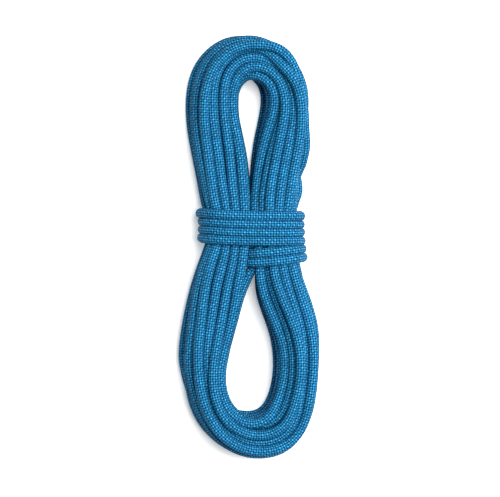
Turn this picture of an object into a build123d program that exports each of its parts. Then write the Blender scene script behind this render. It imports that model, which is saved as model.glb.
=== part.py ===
from build123d import *
import os
from math import cos, pi, radians, sin, tan

# A dynamic climbing rope wound into a flat hank: two open loops, pinched at a waist by six wraps.
# +Y runs up the hank and +Z up from the surface that it lies on.  The origin is the middle of the
# footprint, on that surface.  Millimetres.

# The rope: a braided sheath over twelve core strands and one marker thread
rope_diameter = 9.5
sheath_wall = 1.0
inner_strands = 3
outer_strands = 9
strand_radius = 0.91
inner_ring = 1.06
outer_ring = 2.81
marker_radius = 0.12
sleeve_wall = 0.4
sleeve_length = 30.0
tip_length = 4.0
tip_edge = 1.6

# The hank: the middle line of its two loops, and the section of the bundled rope
loop_thickness = 43.0
waist_thickness = 40.0
loop_rounding = 12.0
waist_rounding = 14.0
arch_width = 45.0
upper_arch_x = -1.0
upper_arch_y = 143.0
upper_arch_radius = 36.5
lower_left_x = -44.0
lower_left_y = -115.8
wide_radius = 68.0
wide_turn = 60.0
tight_radius = 36.0
waist_leg_width = 40.8
waist_top = 37.0
waist_foot = 5.0
crotch_x = 3.0
crotch_top = 4.0
crotch_foot = -34.0

# The wraps: turns 1 to 4 go round both legs, turns 5 and 6 round the right leg only
wrap_width = 7.4
wrap_pitch = 7.5
first_wrap_y = 30.7
first_right_wrap_y = -3.6
right_wrap_pitch = 8.2
wraps_round_both = 4
wraps_round_right = 2
right_leg_side = 46.0
wrap_clearance = 0.2

# The two rope ends lie on the surface under the lower left leg: start and finish of the rope
tail_clearance = 0.3
tip_room = 2.0
start_tail_points = [(-49.5, -41), (-55, -61), (-58.5, -82), (-59, -105)]
finish_tail_points = [(-0.5, -11), (-16.5, -12), (-30.5, -20.5), (-39, -35), (-40.5, -54), (-38.5, -74)]
arc_share = 0.45

rope_radius = rope_diameter / 2
sheath_inner_radius = rope_radius - sheath_wall
sleeve_radius = rope_radius + sleeve_wall
tail_height = sleeve_radius
loop_middle = loop_thickness / 2
waist_base = rope_diameter + wrap_clearance
waist_middle = waist_base + waist_thickness / 2
waist_rise = waist_middle - loop_middle
left_leg_x = crotch_x - waist_leg_width / 2
right_leg_x = crotch_x + waist_leg_width / 2

os.makedirs("parts", exist_ok=True)


def corner_radii(points):
    """The largest tangent arc at each corner of a route, from its two runs and its turn."""
    radii = []
    for before, corner, after in zip(points, points[1:], points[2:]):
        run_in = Vector(*corner) - Vector(*before)
        run_out = Vector(*after) - Vector(*corner)
        turn = run_in.get_angle(run_out)
        shorter = min(run_in.length, run_out.length)
        radii.append(arc_share * shorter / tan(radians(turn / 2)))
    return radii


# ---------------------------------------------------------------- the hank
# Each leg is lofted between stations: x, y, rise above the arches' middle, lean, width, thickness
# and rounding.  The lean is in degrees from +Y towards +X.
upper_left_station = (-27.5, 92.0, 2.0, -13, 51.0, 40.0, loop_rounding)
upper_right_station = (29.5, 92.0, 2.0, 12, 49.0, 40.0, loop_rounding)
lower_left_stations = [
    (-20.5, -1.0, waist_rise, 9, 38.5, 40.0, waist_rounding),
    (-27.0, -22.0, 7.2, 15, 44.0, 41.0, loop_rounding),
    (-36.0, -64.0, 1.5, 13, 48.0, 43.0, loop_rounding),
    (-43.2, -101.8, 0.3, 3, 45.0, 43.0, loop_rounding),
]
lower_right_stations = [
    (26.8, -1.0, waist_rise, -7, 37.0, 40.0, waist_rounding),
    (27.0, -22.0, 7.2, -11, 36.0, 41.0, loop_rounding),
    (37.5, -68.0, 1.5, -12, 45.0, 43.0, loop_rounding),
    (43.5, -105.5, 0.3, -2, 45.0, 43.0, loop_rounding),
]

# The lower arch turns on two radii, and its right end follows from them.
arch_section = (arch_width, loop_thickness, loop_rounding)
waist_section = (waist_leg_width, waist_thickness, waist_rounding)
lower_right_x = (
    lower_left_x
    + wide_radius * (1 - cos(radians(wide_turn)))
    + tight_radius * (1 + cos(radians(wide_turn)))
)
lower_right_y = lower_left_y - (wide_radius - tight_radius) * sin(radians(wide_turn))
upper_left_end = (upper_arch_x - upper_arch_radius, upper_arch_y, 0, 0, *arch_section)
upper_right_end = (upper_arch_x + upper_arch_radius, upper_arch_y, 0, 0, *arch_section)
waist_left_top = (left_leg_x, waist_top, waist_rise, 0, *waist_section)
waist_left_foot = (left_leg_x, waist_foot, waist_rise, 0, *waist_section)
waist_right_top = (right_leg_x, waist_top, waist_rise, 0, *waist_section)
waist_right_foot = (right_leg_x, waist_foot, waist_rise, 0, *waist_section)
lower_left_end = (lower_left_x, lower_left_y, 0, 0, *arch_section)
lower_right_end = (lower_right_x, lower_right_y, 0, 0, *arch_section)
legs = [
    [upper_left_end, upper_left_station, waist_left_top],
    [upper_right_end, upper_right_station, waist_right_top],
    [waist_left_top, waist_left_foot],
    [waist_right_top, waist_right_foot],
    [waist_left_foot, *lower_left_stations, lower_left_end],
    [waist_right_foot, *lower_right_stations, lower_right_end],
]
with BuildPart() as hank:
    for leg in legs:
        for x, y, rise, lean, width, thickness, rounding in leg:
            run = (sin(radians(lean)), cos(radians(lean)), 0)
            across = (cos(radians(lean)), -sin(radians(lean)), 0)
            with BuildSketch(Plane(origin=(x, y, loop_middle + rise), x_dir=across, z_dir=run)):
                RectangleRounded(width, thickness, rounding)
        loft()
    with BuildLine(Plane.XY.offset(loop_middle)) as upper_arch:
        upper_start = (upper_arch_x - upper_arch_radius, upper_arch_y)
        JernArc(upper_start, (0, 1), upper_arch_radius, -180)
    with BuildSketch(Plane(origin=upper_arch.line @ 0, x_dir=(1, 0, 0), z_dir=(0, 1, 0))):
        RectangleRounded(*arch_section)
    sweep(path=upper_arch.line)
    with BuildLine(Plane.XY.offset(loop_middle)) as lower_arch:
        wide = JernArc((lower_left_x, lower_left_y), (0, -1), wide_radius, wide_turn)
        JernArc(wide @ 1, wide % 1, tight_radius, 180 - wide_turn)
    with BuildSketch(Plane(origin=lower_arch.line @ 0, x_dir=(1, 0, 0), z_dir=(0, -1, 0))):
        RectangleRounded(*arch_section)
    sweep(path=lower_arch.line)
    # The last two wraps pass between the legs here.
    with BuildSketch(Plane.XY):
        with Locations((crotch_x, (crotch_top + crotch_foot) / 2)):
            SlotOverall(crotch_top - crotch_foot, rope_diameter + 2 * wrap_clearance, rotation=90)
    extrude(amount=2 * waist_middle, mode=Mode.SUBTRACT)
    # The rope ends lie in a hollow under the lower left leg.
    for points in (start_tail_points, finish_tail_points):
        last_run = (Vector(*points[-1]) - Vector(*points[-2])).normalized()
        tip_end = Vector(*points[-1]) + last_run * (tip_length + tip_room)
        hollow_points = [*points[:-1], (tip_end.X, tip_end.Y)]
        with BuildLine(Plane.XY.offset(tail_height)) as hollow_path:
            FilletPolyline(*hollow_points, radius=corner_radii(points))
        hollow_radius = sleeve_radius + tail_clearance
        start_plane = Plane(origin=hollow_path.line @ 0, x_dir=(0, 0, 1), z_dir=hollow_path.line % 0)
        with BuildSketch(start_plane):
            Circle(hollow_radius)
            with Locations((-hollow_radius, 0)):
                Rectangle(2 * hollow_radius, 2 * hollow_radius)
        sweep(path=hollow_path.line, mode=Mode.SUBTRACT)
print("hank", hank.part.is_valid, hank.part.volume, len(hank.part.solids()), hank.part.bounding_box())
hank.part.label = "hank"
export_step(hank.part, "parts/hank.step")

# ---------------------------------------------------------------- the wraps
wrap_low = rope_radius
wrap_high = waist_base + waist_thickness + wrap_clearance + rope_radius
wrap_corner = waist_rounding + wrap_clearance + rope_radius
wrap_reach = waist_leg_width + wrap_clearance + rope_radius
right_wrap_x = right_leg_side + wrap_clearance + rope_radius
wrap_places = []
for turn in range(wraps_round_both):
    wrap_places.append((first_wrap_y - turn * wrap_pitch, crotch_x - wrap_reach, crotch_x + wrap_reach))
for turn in range(wraps_round_right):
    wrap_places.append((first_right_wrap_y - turn * right_wrap_pitch, crotch_x, right_wrap_x))
for number, (y, left, right) in enumerate(wrap_places, start=1):
    with BuildPart() as wrap:
        with BuildLine(Plane.XZ.offset(-y)):
            ring = FilletPolyline(
                (left, wrap_low),
                (right, wrap_low),
                (right, wrap_high),
                (left, wrap_high),
                radius=wrap_corner,
                close=True,
            )
        with BuildSketch(Plane(origin=ring @ 0, x_dir=(0, 1, 0), z_dir=ring % 0)):
            Ellipse(wrap_width / 2, rope_radius)
        sweep(path=ring)
    print("wrap", number, wrap.part.is_valid, wrap.part.volume, ring.length)
    wrap.part.label = f"wrap_turn_{number}"
    export_step(wrap.part, f"parts/wrap_turn_{number}.step")

# ---------------------------------------------------------------- the rope ends
strand_places = []
for spot in range(inner_strands):
    angle = 2 * pi * spot / inner_strands
    strand_places.append((inner_ring * cos(angle), inner_ring * sin(angle)))
for spot in range(outer_strands):
    angle = 2 * pi * (spot + 0.5) / outer_strands
    strand_places.append((outer_ring * cos(angle), outer_ring * sin(angle)))

for end, points in (("start", start_tail_points), ("finish", finish_tail_points)):
    radii = corner_radii(points)
    print(end, "radii", [round(radius, 1) for radius in radii])
    with BuildLine(Plane.XY.offset(tail_height)):
        route = FilletPolyline(*points, radius=radii)
    inner_plane = Plane(origin=route @ 0, x_dir=(0, 0, 1), z_dir=route % 0)
    outer_plane = Plane(origin=route @ 1, x_dir=(0, 0, 1), z_dir=route % 1)

    with BuildPart() as sheath:
        with BuildSketch(inner_plane):
            Circle(rope_radius)
            Circle(sheath_inner_radius, mode=Mode.SUBTRACT)
        sweep(path=route)
    section = pi * (rope_radius**2 - sheath_inner_radius**2)
    print(end, "sheath", sheath.part.volume, section * route.length, route.length)
    sheath.part.label = f"{end}_end_sheath"
    export_step(sheath.part, f"parts/{end}_end_sheath.step")

    for number, place in enumerate(strand_places, start=1):
        with BuildPart() as strand:
            with BuildSketch(inner_plane):
                with Locations(place):
                    Circle(strand_radius)
            sweep(path=route)
        strand.part.label = f"{end}_core_strand_{number}"
        export_step(strand.part, f"parts/{end}_core_strand_{number}.step")

    with BuildPart() as marker:
        with BuildSketch(inner_plane):
            Circle(marker_radius)
        sweep(path=route)
    marker.part.label = f"{end}_marker_thread"
    export_step(marker.part, f"parts/{end}_marker_thread.step")

    sleeve_path = route.trim(1 - sleeve_length / route.length, 1)
    with BuildPart() as sleeve:
        with BuildSketch(Plane(origin=sleeve_path @ 0, x_dir=(0, 0, 1), z_dir=sleeve_path % 0)):
            Circle(sleeve_radius)
            Circle(rope_radius, mode=Mode.SUBTRACT)
        sweep(path=sleeve_path)
    sleeve.part.label = f"{end}_end_sleeve"
    export_step(sleeve.part, f"parts/{end}_end_sleeve.step")

    with BuildPart() as tip:
        with BuildSketch(outer_plane):
            Circle(rope_radius)
        extrude(amount=tip_length)
        fillet(tip.faces().sort_by(Axis(outer_plane.origin, outer_plane.z_dir))[-1].edges(), tip_edge)
    tip.part.label = f"{end}_fused_tip"
    export_step(tip.part, f"parts/{end}_fused_tip.step")
    print(end, sleeve.part.is_valid, tip.part.is_valid, tip.part.bounding_box())
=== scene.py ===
from math import cos, pi, sin

import bpy
import numpy as np
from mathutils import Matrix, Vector


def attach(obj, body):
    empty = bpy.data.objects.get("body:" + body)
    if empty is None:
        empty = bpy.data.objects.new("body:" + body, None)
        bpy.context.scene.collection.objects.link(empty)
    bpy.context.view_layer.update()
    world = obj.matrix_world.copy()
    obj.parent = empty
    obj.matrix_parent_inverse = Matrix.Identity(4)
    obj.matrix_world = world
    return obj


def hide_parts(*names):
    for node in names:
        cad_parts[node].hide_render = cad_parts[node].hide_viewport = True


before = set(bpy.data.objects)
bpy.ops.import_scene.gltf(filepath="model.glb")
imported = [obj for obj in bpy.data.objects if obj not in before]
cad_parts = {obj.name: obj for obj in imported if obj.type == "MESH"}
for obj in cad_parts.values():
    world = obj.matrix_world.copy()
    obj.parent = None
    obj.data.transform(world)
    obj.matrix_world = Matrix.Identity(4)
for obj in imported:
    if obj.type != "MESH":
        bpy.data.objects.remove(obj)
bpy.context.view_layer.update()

# A 20 m climbing rope wound into a flat hank.  The rope is one line: its free start, the turns of
# the hank, the wraps round the waist, and its free finish.  The turns and wraps are laid by loops,
# and the rope is then relaxed as a chain of particles that holds its length and is pushed apart
# where it touches itself.  Inside the wraps it stays pressed to about two thirds of its thickness.
# The line is worked out in millimetres, and everything that is built from it is in metres.
MM = 0.001

# The rope
ROPE_DIAMETER = 9.5
ROPE_RADIUS = ROPE_DIAMETER / 2
SLEEVE_WALL = 0.4
SLEEVE_LENGTH = 30.0
TIP_LENGTH = 4.0

# The hank's cross-section: rows of turns, from the surface up
ROWS = (5, 4, 5, 5, 4)
ROW_HEIGHT = 0.95 * ROPE_DIAMETER
WAIST_LIFT = 9.7
WAIST_MIDDLE = 29.7
WAIST_HALF_HEIGHT = 24.9
WAIST_Y = 10.0

# ------------------------------------------------------------------ camera
scene = bpy.context.scene
CAMERA_HEIGHT = 1.9
FRAME_WIDTH = 0.475
camera_data = bpy.data.cameras.new("camera")
camera_data.sensor_width = 36.0
camera_data.lens = camera_data.sensor_width * CAMERA_HEIGHT / FRAME_WIDTH
camera = bpy.data.objects.new("camera", camera_data)
camera.location = (0.0019, -0.001, CAMERA_HEIGHT + WAIST_MIDDLE * MM)
scene.collection.objects.link(camera)
scene.camera = camera

# ------------------------------------------------------------------ the loops' middle line
# Stations: x, y, width of the bundle, height of its underside.
STATIONS = (
    (-15.3, 23, 37.5, WAIST_LIFT),
    (-20.5, 50, 47, 7.5),
    (-24.3, 75, 53, 4),
    (-28.2, 100, 56, 1.5),
    (-33.3, 125, 53.5, 0),
    (-31.0, 152, 52.5, 0),
    (-22.3, 174, 48, 0),
    (0.8, 182.1, 40, 0),
    (23.0, 171.3, 41, 0),
    (35.3, 150, 41, 0),
    (35.2, 125, 46.5, 0),
    (30.6, 100, 51, 1.5),
    (27.0, 75, 48, 4),
    (24.3, 50, 45.5, 7.5),
    (24.0, 23, 40, WAIST_LIFT),
    (27.8, -6, 35.5, WAIST_LIFT),
    (28.0, -28, 45, 7),
    (36.2, -54, 48.5, 3.5),
    (43.0, -76, 46, 1),
    (46.4, -99, 43.5, 0),
    (45.3, -122, 42, 0),
    (39.8, -146, 46.5, 0),
    (31.0, -170.5, 51, 0),
    (1.8, -178.2, 43.5, 0),
    (-24.8, -166.3, 38, 0),
    (-36.6, -145, 41, 0),
    (-41.4, -122, 43, 0),
    (-40.9, -99, 49.2, 0),
    (-35.7, -76, 54.6, 1),
    (-30.8, -54, 55, 3.5),
    (-25.4, -28, 51, 7),
    (-16.6, -7, 50.2, WAIST_LIFT),
)
TURN_POINTS = 100
HERMITE_STEPS = 24


def curve_through(points, closed):
    """A dense smooth curve through points, each a row of values."""
    knots = np.array(points, float)
    if closed:
        slope = (np.roll(knots, -1, 0) - np.roll(knots, 1, 0)) / 2
        before, after = knots, np.roll(knots, -1, 0)
        slope_in, slope_out = slope, np.roll(slope, -1, 0)
    else:
        slope = np.gradient(knots, axis=0)
        before, after = knots[:-1], knots[1:]
        slope_in, slope_out = slope[:-1], slope[1:]
    dense = []
    for s in np.linspace(0, 1, HERMITE_STEPS, endpoint=False):
        dense.append(
            (2 * s**3 - 3 * s**2 + 1) * before
            + (s**3 - 2 * s**2 + s) * slope_in
            + (3 * s**2 - 2 * s**3) * after
            + (s**3 - s**2) * slope_out
        )
    curve = np.stack(dense, 1).reshape(-1, knots.shape[1])
    return np.vstack([curve, curve[:1] if closed else knots[-1:]])


def spread(curve, count, axes):
    """The curve again at evenly spaced places, measured along its first axes."""
    steps = np.linalg.norm(np.diff(curve[:, :axes], axis=0), axis=1)
    travelled = np.concatenate([[0], np.cumsum(steps)])
    wanted = np.linspace(0, travelled[-1], count)
    return np.stack([np.interp(wanted, travelled, column) for column in curve.T], 1)


def ease(low, high, value):
    share = np.clip((value - low) / (high - low), 0, 1)
    return share * share * (3 - 2 * share)


loop_line = spread(curve_through(STATIONS, True), TURN_POINTS + 1, 2)[:-1]
heading = np.roll(loop_line[:, :2], -1, 0) - np.roll(loop_line[:, :2], 1, 0)
heading /= np.linalg.norm(heading, axis=1)[:, None]
outward = np.stack([-heading[:, 1], heading[:, 0]], 1)

# ------------------------------------------------------------------ the turns
order = []
for row, places in enumerate(ROWS):
    run = range(places) if row % 2 == 0 else range(places - 1, -1, -1)
    order.extend((row, place) for place in run)
TURNS = len(order)
randoms = np.random.default_rng(7)

# Away from the waist the rows lean: the lower a turn lies, the further left and up it is.
LEAN = np.array([-0.25, 0.08])
STAGGER = 3.5
TOP_ROW_HEIGHT = (len(ROWS) - 1) * ROW_HEIGHT
freely = 1 - loop_line[:, 3] / WAIST_LIFT


def slot(row, place):
    """One place in the bundle's cross-section, all round the loop: distance outward, height."""
    leaned = np.abs(outward @ LEAN) * freely * TOP_ROW_HEIGHT
    pitch = (loop_line[:, 2] - leaned - ROPE_DIAMETER) / (max(ROWS) - 1)
    out = (place - (ROWS[row] - 1) / 2) * pitch
    height = loop_line[:, 3] + ROPE_RADIUS + row * ROW_HEIGHT + STAGGER * (place % 2)
    return np.stack([out, height], 1)


def wander(size):
    """A slow random drift along one turn, different in every turn."""
    angle = np.linspace(0, 2 * pi, TURN_POINTS, endpoint=False)
    drift = np.zeros(TURN_POINTS)
    for waves in (1, 2, 3):
        drift += randoms.normal() * np.cos(waves * angle + randoms.uniform(0, 2 * pi)) / waves
    return size * drift


share = np.arange(TURN_POINTS) / TURN_POINTS
# Shares of a turn: where it rounds each arch, and where the last one leaves the bundle.
UPPER_ARCH = 0.23
LOWER_ARCH = 0.74
LAST_TURN_END = 0.3
# How far a turn drifts from its place, outward and in height.
DRIFT_OUT = 0.8
DRIFT_UP = 0.3
turns = []
for number, (row, place) in enumerate(order):
    here = slot(row, place)
    row_after, place_after = order[min(number + 1, TURNS - 1)]
    there = slot(row_after, place_after)
    middle = UPPER_ARCH if row == len(ROWS) - 1 else LOWER_ARCH
    middle += randoms.uniform(-0.04, 0.04)
    reach = randoms.uniform(0.09, 0.16)
    moved = ease(middle - reach, middle + reach, share)[:, None]
    place_line = here * (1 - moved) + there * moved
    if number == 0:
        # The first turn comes in at the outer edge and crosses under the others to the inside.
        crossed = ease(0.03, 0.17, share)
        outer = slot(0, ROWS[0] - 1)
        place_line[:, 0] = place_line[:, 0] * crossed + outer[:, 0] * (1 - crossed)
        under = ease(0.02, 0.06, share) * (1 - ease(0.15, 0.22, share))
        place_line[:, 1] += (ROPE_RADIUS - place_line[:, 1]) * under
    place_line[:, 0] += wander(DRIFT_OUT)
    place_line[:, 1] += wander(DRIFT_UP)
    flat = loop_line[:, :2] + outward * place_line[:, :1]
    below_middle = loop_line[:, 3] + ROPE_RADIUS + TOP_ROW_HEIGHT / 2 - place_line[:, 1]
    flat += LEAN * (below_middle * freely)[:, None]
    turn = np.column_stack([flat, place_line[:, 1]])
    if number == TURNS - 1:
        turn = turn[share < LAST_TURN_END]
    turns.append(turn)

# ------------------------------------------------------------------ the wraps
# The last turn slides down the outside of the right leg to the surface, and there becomes the wraps.
DESCENT = (
    (52, 116, 38),
    (49.5, 98, 32),
    (46, 80, 25),
    (43, 63, 17),
    (39, 48, 9),
    (33, 38, 5.2),
    (24, 33, 4.8),
)
LEFT_SIDE_Y = (32.8, 24.6, 16.8, 9.2, -5.4, -14.4)
RIGHT_SIDE_Y = (28.6, 22.0, 14.6, 7.4, 0.0, -8.0)
FIRST_WRAP_Y = 36.0
LAST_WRAP_Y = -11.2
# A ring round the legs: its middle, its half width, and how square it is.
BOTH_LEGS = (3.0, 46.0, 4.0)
RIGHT_LEG = (27.2, 22.0, 2.2)
WRAPS_ROUND_BOTH = 4
WRAP_SAG = 1.5
WRAP_POINTS = 40
# The first wrap begins below the bundle, this share of a turn round.
FIRST_WRAP_START = 0.2

# The wraps start this much slack, and are then pulled tight to this share of their length.
SLACK = 9.0
TIGHT_BOTH = 0.74
TIGHT_RIGHT = 0.74


def ring_point(angle, middle, half_width, squareness, y):
    """A point of a slack ring round the waist, turning from the right side down and under."""
    across = abs(cos(angle)) ** (2 / squareness)
    up = abs(sin(angle)) ** (2 / squareness)
    return (
        middle + (half_width + SLACK) * (across if cos(angle) > 0 else -across),
        y,
        WAIST_MIDDLE + SLACK + (WAIST_HALF_HEIGHT + SLACK) * (up if sin(angle) > 0 else -up),
    )


wraps = []
for number, (left_y, right_y) in enumerate(zip(LEFT_SIDE_Y, RIGHT_SIDE_Y)):
    middle, half_width, squareness = BOTH_LEGS if number < WRAPS_ROUND_BOTH else RIGHT_LEG
    last_right_y = RIGHT_SIDE_Y[number - 1] if number else FIRST_WRAP_Y
    for step in range(WRAP_POINTS):
        turned = step / WRAP_POINTS
        if number == 0 and turned < FIRST_WRAP_START:
            continue
        if turned < 0.5:
            y = last_right_y + (left_y - last_right_y) * ease(0, 0.5, turned)
        else:
            y = left_y + (right_y - left_y) * ease(0.5, 1, turned)
            y -= WRAP_SAG * sin(2 * pi * (turned - 0.5))
        wraps.append(ring_point(-2 * pi * turned, middle, half_width, squareness, y))
for step in range(WRAP_POINTS // 4):
    turned = step / WRAP_POINTS
    middle, half_width, squareness = RIGHT_LEG
    y = RIGHT_SIDE_Y[-1] + (LAST_WRAP_Y - RIGHT_SIDE_Y[-1]) * ease(0, 0.25, turned)
    wraps.append(ring_point(-2 * pi * turned, middle, half_width, squareness, y))

# ------------------------------------------------------------------ the free ends
TAIL_HEIGHT = ROPE_RADIUS + SLEEVE_WALL
start_tail = [(-59, -105), (-58.5, -82), (-55, -61), (-49.5, -41)]
finish_tail = [(-0.5, -11), (-16.5, -12), (-30.5, -20.5), (-39, -35), (-40.5, -54), (-38.5, -74)]
start_tail = np.array([(x, y, TAIL_HEIGHT) for x, y in start_tail])
finish_tail = np.array([(x, y, TAIL_HEIGHT) for x, y in finish_tail])

# ------------------------------------------------------------------ relaxing the rope
# Particles this far apart are moved many times: down, back towards their places, straight, and
# out of each other.  The gaps are how far apart the middles of two touching stretches are pushed.
SPACING = 8.0
ROUNDS = 420
LAST_ROUNDS = 60
NEIGHBOUR_ROUNDS = 12
SAME_STRETCH = 5
PULL_DOWN = 0.03
KEEP_SHAPE = 0.06
KEEP_WRAPS = 0.1
SMOOTHING = 0.4
PUSH = 0.3
GAP_TURNS = 9.1
GAP_PRESSED = 8.2
PRESSED_REACH = 28.0
GAP_WRAPPED = 8.4
GAP_WRAPS = 7.9

hank_raw = np.vstack(turns)
raw = np.vstack([start_tail, hank_raw, np.array(DESCENT), np.array(wraps), finish_tail])
# What each point belongs to: the start, the turns, the way down, the wraps round both legs and
# round the right leg, and the finish.
round_both = WRAP_POINTS * WRAPS_ROUND_BOTH - int(WRAP_POINTS * FIRST_WRAP_START)
round_right = len(wraps) - round_both
counts = (len(start_tail), len(hank_raw), len(DESCENT), round_both, round_right, len(finish_tail))
marks = np.repeat(np.arange(len(counts)), counts)
dense = curve_through(np.column_stack([raw, marks]), False)
steps = np.linalg.norm(np.diff(dense[:, :3], axis=0), axis=1)
chain = spread(dense, int(steps.sum() / SPACING) + 1, 3)
kinds = np.rint(chain[:, 3]).astype(int)
places = chain[:, :3].copy()
held = (kinds == 0) | (kinds == 5)
in_wraps = (kinds == 3) | (kinds == 4)
laid = np.full(len(places) - 1, np.linalg.norm(np.diff(places, axis=0), axis=1).mean())
tight = np.choose(kinds[:-1], [1, 1, 1, TIGHT_BOTH, TIGHT_RIGHT, 1])
target = places.copy()
keep = np.zeros((len(places), 3))
keep[kinds <= 1, :2] = KEEP_SHAPE
keep[kinds == 2, :2] = KEEP_WRAPS
keep[in_wraps, 1] = KEEP_WRAPS
keep[held] = 0
free = (~held).astype(float)


def close_pairs():
    """Particles and the stretches of other turns that they may touch."""
    middles = (places[:-1] + places[1:]) / 2
    apart = (
        (places**2).sum(1)[:, None] + (middles**2).sum(1)[None, :] - 2 * places @ middles.T
    )
    reach = ROPE_DIAMETER + SPACING
    point, stretch = np.nonzero(apart < reach * reach)
    far = (np.abs(point - stretch) > SAME_STRETCH) & (np.abs(point - stretch - 1) > SAME_STRETCH)
    return point[far], stretch[far]


def add_at(total, index, values):
    for axis in range(3):
        total[:, axis] += np.bincount(index, values[:, axis], len(total))


def push_apart(point, stretch, gap):
    start, end, particle = places[stretch], places[stretch + 1], places[point]
    run = end - start
    along = np.clip(((particle - start) * run).sum(1) / (run * run).sum(1), 0, 1)[:, None]
    away = particle - (start + along * run)
    distance = np.linalg.norm(away, axis=1)
    touching = distance < gap
    away, distance, along = away[touching], distance[touching][:, None], along[touching]
    shift = away / np.maximum(distance, 0.01) * (gap[touching][:, None] - distance) * PUSH
    change = np.zeros_like(places)
    add_at(change, point[touching], shift)
    add_at(change, stretch[touching], -shift * (1 - along))
    add_at(change, stretch[touching] + 1, -shift * along)
    return change * free[:, None]


def hold_lengths():
    for first in (0, 1):
        start = np.arange(first, len(places) - 1, 2)
        run = places[start + 1] - places[start]
        length = np.linalg.norm(run, axis=1)
        mobile = free[start] + free[start + 1]
        share = (length - rest[start]) / length / np.maximum(mobile, 1)
        places[start] += run * (share * free[start])[:, None]
        places[start + 1] -= run * (share * free[start + 1])[:, None]


for round_number in range(ROUNDS):
    if round_number % NEIGHBOUR_ROUNDS == 0:
        point, stretch = close_pairs()
        both = in_wraps[point].astype(int) + in_wraps[stretch]
        gap = np.choose(both, [GAP_TURNS, GAP_WRAPPED, GAP_WRAPS])
        pressed = (both == 0) & (np.abs(places[point, 1] - WAIST_Y) < PRESSED_REACH)
        gap[pressed] = GAP_PRESSED
    settling = ROUNDS - round_number > LAST_ROUNDS
    rest = laid * (1 + (tight - 1) * ease(0, 0.5, round_number / ROUNDS))
    if settling:
        places[:, 2] -= PULL_DOWN * free
    places += (target - places) * keep
    for reach in (1, 2):
        bend = places[: -2 * reach] + places[2 * reach :] - 2 * places[reach:-reach]
        stiff = np.zeros_like(places)
        stiff[2 * reach : -2 * reach] = 2 * bend[reach:-reach] - bend[: -2 * reach] - bend[2 * reach :]
        places += stiff * (SMOOTHING / 16 * free)[:, None]
    hold_lengths()
    places += push_apart(point, stretch, gap)
    low = free * np.maximum(ROPE_RADIUS - places[:, 2], 0)
    places[:, 2] += low
    hold_lengths()
places[:, 2] += free * np.maximum(ROPE_RADIUS - places[:, 2], 0)

# ------------------------------------------------------------------ the rope's NURBS line
control = np.vstack([start_tail, places[~held], finish_tail]) * MM
line_data = bpy.data.curves.new("rope_line", "CURVE")
line_data.dimensions = "3D"
spline = line_data.splines.new("NURBS")
spline.points.add(len(control) - 1)
spline.points.foreach_set("co", np.column_stack([control, np.ones(len(control))]).ravel())
spline.order_u = 3
spline.use_endpoint_u = True
spline.resolution_u = 2
line = bpy.data.objects.new("rope_line", line_data)
scene.collection.objects.link(line)
bpy.context.view_layer.update()
line_mesh = bpy.data.meshes.new_from_object(line.evaluated_get(bpy.context.evaluated_depsgraph_get()))
path = np.empty(len(line_mesh.vertices) * 3)
line_mesh.vertices.foreach_get("co", path)
path = path.reshape(-1, 3)
bpy.data.objects.remove(line)
bpy.data.meshes.remove(line_mesh)
travelled = np.concatenate([[0], np.cumsum(np.linalg.norm(np.diff(path, axis=0), axis=1))])
ROPE_LENGTH = travelled[-1]

# Directions along the line, and directions across it that turn as little as they can.
along_line = np.gradient(path, axis=0)
along_line /= np.linalg.norm(along_line, axis=1)[:, None]
across_line = np.zeros_like(path)
across_line[0] = np.cross(along_line[0], (0, 0, 1))
for index in range(1, len(path)):
    carried = across_line[index - 1]
    carried = carried - along_line[index] * carried.dot(along_line[index])
    across_line[index] = carried / np.linalg.norm(carried)

# ------------------------------------------------------------------ shells round the line
SIDES = 18
THIN_SIDES = 10


def at(distance, values):
    return np.stack([np.interp(distance, travelled, column) for column in values.T], 1)


def rings(profile, sides, ring_radius=0.0, phase=0.0, lay_length=1.0):
    """Rings of points round the line, each a distance along it and a radius.  They may follow a
    helix round the line instead, as a strand of a laid core does."""
    distance, radius = np.array(profile).T
    forward = at(distance, along_line)
    forward /= np.linalg.norm(forward, axis=1)[:, None]
    across = at(distance, across_line)
    across -= forward * (across * forward).sum(1)[:, None]
    across /= np.linalg.norm(across, axis=1)[:, None]
    upward = np.cross(forward, across)
    beyond = distance - np.clip(distance, 0, ROPE_LENGTH)
    middle = at(distance, path) + forward * beyond[:, None]
    turn = phase + 2 * pi * distance / lay_length
    middle += ring_radius * (np.cos(turn)[:, None] * across + np.sin(turn)[:, None] * upward)
    angle = 2 * pi * np.arange(sides) / sides
    spoke = across[:, None] * np.cos(angle)[:, None] + upward[:, None] * np.sin(angle)[:, None]
    return middle[:, None] + spoke * radius[:, None, None], middle, spoke


def skin(points, distance, closed, first_vertex=0):
    """Faces and texture places of a strip of rings.  A strip is closed on itself or capped."""
    count, sides = points.shape[:2]
    index = np.arange(count * sides).reshape(count, sides) + first_vertex
    index = np.column_stack([index, index[:, 0]])
    if closed:
        index = np.vstack([index, index[:1]])
        distance = np.append(distance, distance[0])
    faces = np.stack([index[:-1, :-1], index[:-1, 1:], index[1:, 1:], index[1:, :-1]], 2).reshape(-1, 4)
    round_place = np.arange(sides + 1) / sides
    low, high = round_place[:-1], round_place[1:]
    here, there = np.array(distance[:-1]), np.array(distance[1:])
    u = np.stack(np.broadcast_arrays(low, high, high, low), 1)[None].repeat(len(here), 0)
    v = np.stack([here, here, there, there], 1)[:, None].repeat(sides, 1)
    texture = np.stack([u, v], 3).reshape(-1, 2)
    caps = [] if closed else [index[0, :-1][::-1].tolist(), index[-1, :-1].tolist()]
    return faces.tolist(), caps, texture


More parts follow.
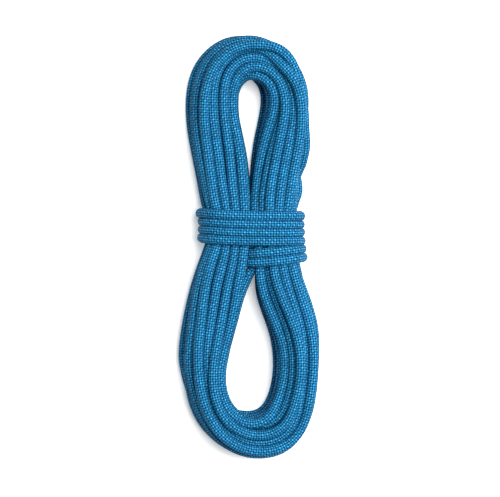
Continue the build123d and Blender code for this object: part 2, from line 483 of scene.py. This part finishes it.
def build(name, strips, material):
    """One smooth mesh object from strips of (rings of points, their distances, closed)."""
    vertices, quads, caps, texture = [], [], [], []
    for points, distance, closed in strips:
        first = sum(len(block) for block in vertices)
        faces, ends, places_on = skin(points, distance, closed, first)
        vertices.append(points.reshape(-1, 3))
        quads += faces
        caps += ends
        texture.append(places_on)
    cap_corners = sum(len(cap) for cap in caps)
    texture.append(np.zeros((cap_corners, 2)))
    mesh = bpy.data.meshes.new(name)
    mesh.from_pydata(np.vstack(vertices).tolist(), [], quads + caps)
    layer = mesh.uv_layers.new(name="rope")
    layer.data.foreach_set("uv", np.vstack(texture).ravel())
    mesh.shade_smooth()
    mesh.materials.append(material)
    mesh.validate()
    piece = bpy.data.objects.new(name, mesh)
    scene.collection.objects.link(piece)
    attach(piece, "root")
    return piece


# ------------------------------------------------------------------ materials
def linear(red, green, blue):
    """A colour given as 0 to 255 on a screen, as the shader's own numbers."""
    return [((value / 255 + 0.055) / 1.055) ** 2.4 for value in (red, green, blue)] + [1.0]


class Nodes:
    """A material's nodes, with short ways to add and join them."""

    def __init__(self, name):
        self.material = bpy.data.materials.new(name)
        self.material.use_nodes = True
        self.tree = self.material.node_tree
        self.shader = self.tree.nodes["Principled BSDF"]

    def add(self, kind, inputs=(), **settings):
        node = self.tree.nodes.new("ShaderNode" + kind)
        for key, value in settings.items():
            setattr(node, key, value)
        for key, value in dict(inputs).items():
            self.join(value, node.inputs[key])
        return node

    def join(self, value, socket):
        if isinstance(value, bpy.types.NodeSocket):
            self.tree.links.new(value, socket)
        else:
            socket.default_value = value

    def math(self, operation, *values):
        return self.add("Math", enumerate(values), operation=operation).outputs[0]

    def mix(self, share, first, second):
        node = self.add("Mix", data_type="RGBA")
        self.join(share, node.inputs["Factor"])
        colour_inputs = [socket for socket in node.inputs if socket.type == "RGBA"]
        self.join(first, colour_inputs[0])
        self.join(second, colour_inputs[1])
        return [socket for socket in node.outputs if socket.type == "RGBA"][0]

    def noise(self, vector, scale, detail=2.0):
        inputs = {"Vector": vector, "Scale": scale, "Detail": detail}
        return self.add("TexNoise", inputs).outputs["Fac"]

    def set(self, **values):
        for key, value in values.items():
            self.join(value, self.shader.inputs[key.replace("_", " ")])

    def bump(self, height, distance, strength=1.0):
        inputs = {"Height": height, "Distance": distance, "Strength": strength}
        self.join(self.add("Bump", inputs).outputs[0], self.shader.inputs["Normal"])


# The sheath is braided from this many yarns each way, each passing over one and under one.
# The advance is how far along the rope, in metres, the weave repeats.
YARNS_EACH_WAY = 12
YARN_ADVANCE = 0.00245
LIGHT_YARN = linear(60, 141, 184)
PLAIN_YARN = linear(28, 124, 170)
DARK_YARN = linear(0, 72, 118)
DEEP_YARN = linear(0, 46, 88)


def braided_sheath():
    nodes = Nodes("braided_sheath")
    place = nodes.add("SeparateXYZ", {0: nodes.add("UVMap", uv_map="rope").outputs[0]}).outputs
    around = nodes.math("MULTIPLY", place[0], YARNS_EACH_WAY)
    advance = nodes.math("DIVIDE", place[1], YARN_ADVANCE)
    right = nodes.math("ADD", around, advance)
    left = nodes.math("SUBTRACT", around, advance)
    right_yarn = nodes.math("FLOOR", right)
    left_yarn = nodes.math("FLOOR", left)
    right_across = nodes.math("SUBTRACT", nodes.math("SUBTRACT", right, right_yarn), 0.5)
    left_across = nodes.math("SUBTRACT", nodes.math("SUBTRACT", left, left_yarn), 0.5)
    parity = nodes.math("FLOORED_MODULO", nodes.math("ADD", right_yarn, left_yarn), 2.0)
    right_shows = nodes.math("LESS_THAN", parity, 0.5)

    def choose(yes, no):
        return nodes.math("ADD", nodes.math("MULTIPLY", nodes.math("SUBTRACT", yes, no), right_shows), no)

    def dome(across, steepness):
        squared = nodes.math("POWER", across, 2.0)
        return nodes.math("SUBTRACT", 1.0, nodes.math("MULTIPLY", squared, steepness))

    # A yarn is round across, and dips at both ends of the stretch that shows.
    height = nodes.math(
        "MULTIPLY",
        dome(choose(right_across, left_across), 2.6),
        dome(choose(left_across, right_across), 1.8),
    )
    # Each yarn keeps its own tone all along: the yarns of one way are light and plain in turn,
    # those of the other way dark and deep blue.
    light_turn = nodes.math("FLOORED_MODULO", right_yarn, 2.0)
    dark_turn = nodes.math("FLOORED_MODULO", left_yarn, 2.0)
    colour = nodes.mix(
        right_shows,
        nodes.mix(dark_turn, DARK_YARN, DEEP_YARN),
        nodes.mix(light_turn, LIGHT_YARN, PLAIN_YARN),
    )
    # A yarn's number is counted once round the rope, so that the tones meet where the sheath closes.
    number_round = nodes.math("FLOORED_MODULO", right_yarn, YARNS_EACH_WAY)
    number_along = nodes.math("SUBTRACT", right_yarn, left_yarn)
    crossing = nodes.add("CombineXYZ", {0: number_round, 1: number_along}).outputs[0]
    stitch = nodes.add("TexWhiteNoise", {"Vector": crossing}, noise_dimensions="2D").outputs["Value"]
    # The filaments of a yarn, and slow changes of tone along the rope.
    filament_place = nodes.add(
        "CombineXYZ",
        {
            0: nodes.math("MULTIPLY", choose(right, left), 6.0),
            1: nodes.math("MULTIPLY", choose(left, right), 0.8),
        },
    ).outputs[0]
    filament = nodes.noise(filament_place, 1.0)
    dyed = nodes.noise(nodes.add("CombineXYZ", {1: place[1]}).outputs[0], 20.0)
    # The colour is darkened with the yarn's height: painted shade in the crevices between yarns and at
    # their crossings, with the filament, dye and crossing tones on top.
    crevice_shade_and_tone = nodes.math("ADD", nodes.math("MULTIPLY", height, 1.1), 0.08)
    crevice_shade_and_tone = nodes.math("MULTIPLY", crevice_shade_and_tone, nodes.math("ADD", nodes.math("MULTIPLY", filament, 0.5), 0.75))
    crevice_shade_and_tone = nodes.math("MULTIPLY", crevice_shade_and_tone, nodes.math("ADD", nodes.math("MULTIPLY", dyed, 0.35), 0.82))
    crevice_shade_and_tone = nodes.math("MULTIPLY", crevice_shade_and_tone, nodes.math("ADD", nodes.math("MULTIPLY", stitch, 0.5), 0.75))
    shaded_yarn_colour = nodes.add("VectorMath", {0: colour}, operation="SCALE")
    nodes.join(crevice_shade_and_tone, shaded_yarn_colour.inputs["Scale"])
    worn = nodes.noise(nodes.add("TexCoord").outputs["Object"], 900.0)
    roughness = nodes.math("ADD", nodes.math("MULTIPLY", worn, 0.2), 0.58)
    fine = nodes.math("ADD", height, nodes.math("MULTIPLY", filament, 0.3))
    nodes.set(Base_Color=shaded_yarn_colour.outputs[0], Roughness=roughness)
    nodes.set(IOR=1.5)
    nodes.set(Specular_IOR_Level=0.04)
    nodes.bump(fine, 0.00028)
    return nodes.material


def twisted_yarn(name, dark, light, twists):
    """Twisted nylon: slanting plies with fine filaments, with the colour darkened in the grooves between
    plies as painted shade.
    """
    nodes = Nodes(name)
    place = nodes.add("SeparateXYZ", {0: nodes.add("UVMap", uv_map="rope").outputs[0]}).outputs
    twisted = nodes.math("MULTIPLY", place[1], twists)
    slant = nodes.math("ADD", nodes.math("MULTIPLY", place[0], 3.0), twisted)
    ply = nodes.math("ABSOLUTE", nodes.math("SINE", nodes.math("MULTIPLY", slant, pi)))
    fibre = nodes.noise(nodes.add("TexCoord").outputs["Object"], 2500.0)
    # The colour goes to the dark one in the grooves between plies: painted shade, with a random fibre
    # tone on top.
    ply_shade_and_fibre_tone = nodes.math("MULTIPLY", nodes.math("ADD", nodes.math("MULTIPLY", fibre, 0.4), 0.6), ply)
    nodes.set(Base_Color=nodes.mix(ply_shade_and_fibre_tone, dark, light), Roughness=0.7, Sheen_Weight=0.3)
    nodes.bump(nodes.math("ADD", ply, nodes.math("MULTIPLY", fibre, 0.3)), 0.0002)
    return nodes.material


def shrunk_sleeve():
    """Heat-shrunk film over the braid, which shows through it as low dimples."""
    nodes = Nodes("shrunk_sleeve")
    place = nodes.add("TexCoord").outputs["Object"]
    dimples = nodes.add("TexVoronoi", {"Vector": place, "Scale": 800.0}).outputs["Distance"]
    smears = nodes.noise(place, 140.0, 4.0)
    nodes.set(Base_Color=nodes.mix(smears, linear(14, 16, 19), linear(34, 37, 42)))
    nodes.set(Roughness=nodes.math("ADD", nodes.math("MULTIPLY", smears, 0.3), 0.25))
    nodes.bump(nodes.math("ADD", dimples, smears), 0.00012)
    return nodes.material


def fused_nylon():
    """Sheath and core melted together: dark, glassy and lumpy."""
    nodes = Nodes("fused_nylon")
    place = nodes.add("TexCoord").outputs["Object"]
    lumps = nodes.noise(place, 700.0, 3.0)
    nodes.set(Base_Color=nodes.mix(lumps, linear(10, 34, 62), linear(60, 110, 140)))
    nodes.set(Roughness=nodes.math("ADD", nodes.math("MULTIPLY", lumps, 0.3), 0.2))
    nodes.bump(lumps, 0.0006)
    return nodes.material


# ------------------------------------------------------------------ the rope
SHEATH_WALL = 1.0
CORE_RADIUS = (ROPE_RADIUS - SHEATH_WALL) * MM
# The sheath is hollow for this length at each end, where the core strands are made.
OPEN_LENGTH = 0.07
INNER_SPACING = 0.002
# Contacts are looked for this far past touching, between rings more than this many apart.
CONTACT_MARGIN = 0.004
SAME_RINGS = 8
RINGS_AT_ONCE = 400
LOWEST_POINT = 0.00002
radius = ROPE_RADIUS * MM
hollow = np.arange(0, OPEN_LENGTH, INNER_SPACING)
profile = [(distance, CORE_RADIUS) for distance in hollow[::-1]]
profile += [(distance, radius) for distance in travelled]
profile += [(ROPE_LENGTH - distance, CORE_RADIUS) for distance in hollow]
shape, _, _ = rings(profile, SIDES)
outside = slice(len(hollow), len(hollow) + len(path))


def flatten_contacts(points):
    """Where two turns press on each other, each is flat up to the plane halfway between them."""
    diameter = 2 * radius
    reach = diameter + CONTACT_MARGIN
    for first in range(0, len(path) - 1, RINGS_AT_ONCE):
        block = slice(first, min(first + RINGS_AT_ONCE, len(path)))
        apart = np.linalg.norm(path[block][:, None] - path[None, :-1], axis=2)
        here, there = np.nonzero(apart < reach)
        here = here + first
        far = np.abs(here - there) > SAME_RINGS
        here, there = here[far], there[far]
        run = path[there + 1] - path[there]
        place = ((path[here] - path[there]) * run).sum(1) / (run * run).sum(1)
        beside = (place >= 0) & (place < 1)
        here, there, run, place = here[beside], there[beside], run[beside], place[beside]
        toward = path[there] + run * place[:, None] - path[here]
        distance = np.linalg.norm(toward, axis=1)
        near = distance < diameter
        here, toward, distance = here[near], toward[near], distance[near]
        toward /= distance[:, None]
        reached = ((points[here] - path[here][:, None]) * toward[:, None]).sum(2)
        over = np.maximum(reached - distance[:, None] / 2, 0)
        np.subtract.at(points, here, over[:, :, None] * toward[:, None])


flatten_contacts(shape[outside])
shape[:, :, 2] = np.maximum(shape[:, :, 2], LOWEST_POINT)
rope = build("rope", [(shape, [distance for distance, _ in profile], False)], braided_sheath())

# ------------------------------------------------------------------ the two ends
STRAND_RADIUS = 0.00091
MARKER_RADIUS = 0.00012
LAY_LENGTH = 0.045
LUMP_DEPTH = 0.00012
INNER_STRANDS = 3
OUTER_STRANDS = 9
INNER_RING = 0.00106
OUTER_RING = 0.00281
CORE_START = 0.0002
SLEEVE_SPACING = 0.002
TIP_ROUNDING = 1.6
TIP_STEPS = 6
strand_places = [(INNER_RING, 2 * pi * spot / INNER_STRANDS) for spot in range(INNER_STRANDS)]
strand_places += [
    (OUTER_RING, 2 * pi * (spot + 0.5) / OUTER_STRANDS) for spot in range(OUTER_STRANDS)
]
core_yarn = twisted_yarn("core_yarn", linear(170, 170, 164), linear(246, 246, 240), 350.0)
marker_yarn = twisted_yarn("marker_yarn", linear(120, 20, 20), linear(214, 48, 40), 900.0)
sleeve_film = shrunk_sleeve()
melted = fused_nylon()


def end_pieces(end, place):
    """The pieces of one rope end.  place(d) is the place on the line d inwards from its end."""
    inside = np.arange(CORE_START, OPEN_LENGTH, INNER_SPACING)
    strips = []
    for ring_radius, phase in strand_places:
        run = [(place(distance), STRAND_RADIUS) for distance in inside]
        shape_here, _, _ = rings(run, THIN_SIDES, ring_radius, phase, LAY_LENGTH)
        strips.append((shape_here, [distance for distance, _ in run], False))
    core = build(f"{end}_core_strands", strips, core_yarn)
    strand_count = len(strand_places)
    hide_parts(*[f"{end}_core_strand_{spot + 1}" for spot in range(strand_count)])

    run = [(place(distance), MARKER_RADIUS) for distance in inside]
    shape_here, _, _ = rings(run, THIN_SIDES)
    marker_strip = (shape_here, [distance for distance, _ in run], False)
    marker = build(f"{end}_marker_yarn", [marker_strip], marker_yarn)
    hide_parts(f"{end}_marker_thread")

    outer = (ROPE_RADIUS + SLEEVE_WALL) * MM
    edge = SLEEVE_WALL * MM
    length = SLEEVE_LENGTH * MM
    run = [(0.0, radius), (0.0, outer - edge / 3), (edge / 2, outer)]
    half_gap = SLEEVE_SPACING / 2
    outward_run = np.arange(SLEEVE_SPACING, length - half_gap, SLEEVE_SPACING)
    run += [(distance, outer) for distance in outward_run]
    run += [(length - edge, outer), (length, radius + edge / 3), (length, radius)]
    return_run = np.arange(length - SLEEVE_SPACING, half_gap, -SLEEVE_SPACING)
    run += [(distance, radius) for distance in return_run]
    run = [(place(distance), size) for distance, size in run]
    shape_here, _, _ = rings(run, 2 * SIDES)
    sleeve = build(f"{end}_sleeve", [(shape_here, [distance for distance, _ in run], True)], sleeve_film)
    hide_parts(f"{end}_end_sleeve")

    rounding = TIP_ROUNDING * MM
    run = [(0.0, radius), (0.5 * (TIP_LENGTH * MM - rounding), radius)]
    for step in range(TIP_STEPS + 1):
        angle = pi / 2 * step / TIP_STEPS
        reach = TIP_LENGTH * MM - rounding + rounding * sin(angle)
        run.append((reach, radius - rounding + rounding * cos(angle)))
    for size in (0.75, 0.5, 0.25, 0.08):
        run.append((TIP_LENGTH * MM, size * (radius - rounding)))
    run = [(place(-distance), size) for distance, size in run]
    shape_here, _, spoke = rings(run, 2 * SIDES)
    angle = 2 * pi * np.arange(2 * SIDES) / (2 * SIDES)
    girth = np.array([size for _, size in run])[:, None] / radius
    lumps = LUMP_DEPTH * (np.sin(3 * angle + 1) + np.sin(5 * angle)) * girth
    shape_here -= spoke * np.abs(lumps)[:, :, None]
    tip = build(f"{end}_tip", [(shape_here, [distance for distance, _ in run], False)], melted)
    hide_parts(f"{end}_fused_tip")
    return [core, marker, sleeve, tip]


on_rope = end_pieces("start", lambda distance: distance)
on_rope += end_pieces("finish", lambda distance: ROPE_LENGTH - distance)

wrap_nodes = [f"wrap_turn_{number + 1}" for number in range(len(LEFT_SIDE_Y))]
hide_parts("hank", *wrap_nodes, "start_end_sheath", "finish_end_sheath")

# ------------------------------------------------------------------ floor and light
floor_mesh = bpy.data.meshes.new("floor")
FLOOR_REACH = 4.0
corners = [(-FLOOR_REACH, -FLOOR_REACH, 0), (FLOOR_REACH, -FLOOR_REACH, 0)]
corners += [(FLOOR_REACH, FLOOR_REACH, 0), (-FLOOR_REACH, FLOOR_REACH, 0)]
floor_mesh.from_pydata(corners, [], [(0, 1, 2, 3)])
floor = bpy.data.objects.new("floor", floor_mesh)
scene.collection.objects.link(floor)
floor_nodes = Nodes("pale_floor")
floor_nodes.set(Base_Color=(0.86, 0.86, 0.86, 1.0), Roughness=0.9)
floor_nodes.set(Emission_Color=(1.0, 1.0, 1.0, 1.0), Emission_Strength=0.3)
floor_mesh.materials.append(floor_nodes.material)


def soft_light(name, place, size, power, colour):
    data = bpy.data.lights.new(name, "AREA")
    data.size = size
    data.energy = power
    data.color = colour
    light = bpy.data.objects.new(name, data)
    light.location = place
    light.rotation_euler = (-Vector(place)).to_track_quat("-Z", "Y").to_euler()
    light.visible_camera = False
    scene.collection.objects.link(light)


soft_light("overhead", (0.6, 0.3, 2.25), 1.1, 92.0, (1.0, 0.99, 0.97))
soft_light("right_box", (1.6, 0.1, 1.1), 0.9, 22.0, (0.93, 0.95, 1.0))
soft_light("left_box", (-1.5, 0.5, 1.3), 0.9, 8.0, (0.93, 1.0, 0.99))
world = bpy.data.worlds.new("studio")
world.use_nodes = True
world.node_tree.nodes["Background"].inputs["Color"].default_value = (1.0, 1.0, 1.0, 1.0)
world.node_tree.nodes["Background"].inputs["Strength"].default_value = 0.08
scene.world = world
scene.view_settings.view_transform = "Standard"
scene.view_settings.look = "None"
